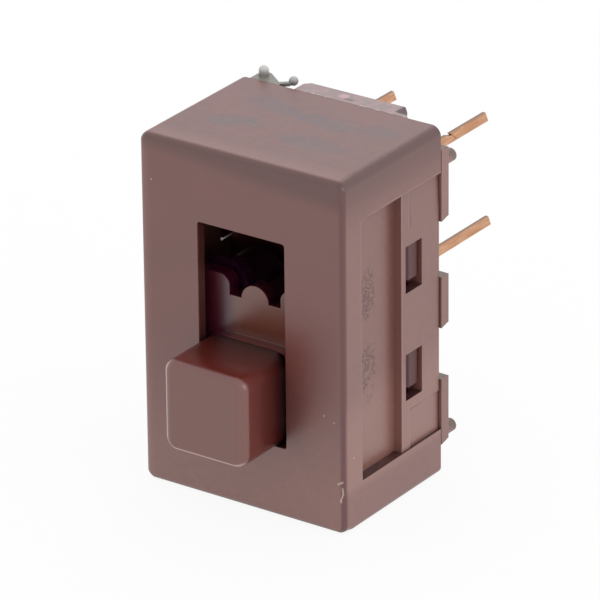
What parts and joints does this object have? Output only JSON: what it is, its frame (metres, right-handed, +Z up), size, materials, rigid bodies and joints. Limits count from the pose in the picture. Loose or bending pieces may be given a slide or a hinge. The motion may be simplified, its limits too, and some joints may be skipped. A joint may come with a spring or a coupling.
{
  "type": "slide switch",
  "caption": "Double-pole slide switch for a printed board, brown moulded housing with a square sliding knob and long flat solder pins.",
  "frame": {"origin": "centre of the flat lower end face that the switch stands on", "axes": "+Z up along the knob's travel, -Y out of the front face that the knob stands out of, +Y back along the pins, +X to the right seen from the front"},
  "size_m": [0.021, 0.0371, 0.0336],
  "materials": {
    "housing_plastic": "fine matt moulded brown",
    "base_plastic": "matt moulded grey brown",
    "slider_plastic": "satin moulded brown",
    "carrier_plastic": "glossy black",
    "pin_metal": "tinned copper alloy, warm gold",
    "contact_metal": "silver",
    "spring_steel": "bright wire"
  },
  "bodies": {
    "housing": {"housing": "housing_plastic", "base": "base_plastic", "left_middle_terminal": "pin_metal", "right_middle_terminal": "pin_metal", "left_top_terminal": "pin_metal", "right_top_terminal": "pin_metal", "left_middle_contact": "contact_metal", "right_middle_contact": "contact_metal", "left_top_contact": "contact_metal", "right_top_contact": "contact_metal"},
    "slider": {"slider": "slider_plastic", "left_carrier": "carrier_plastic", "right_carrier": "carrier_plastic", "left_spring": "spring_steel", "right_spring": "spring_steel", "left_bridge": "pin_metal", "right_bridge": "pin_metal", "left_upper_point": "contact_metal", "left_lower_point": "contact_metal", "right_upper_point": "contact_metal", "right_lower_point": "contact_metal"}
  },
  "joints": [
    {"name": "knob_slide", "type": "slide", "parent": "housing", "child": "slider", "axis": [0, 0, 1], "range_m": [0, 0.0101]}
  ]
}
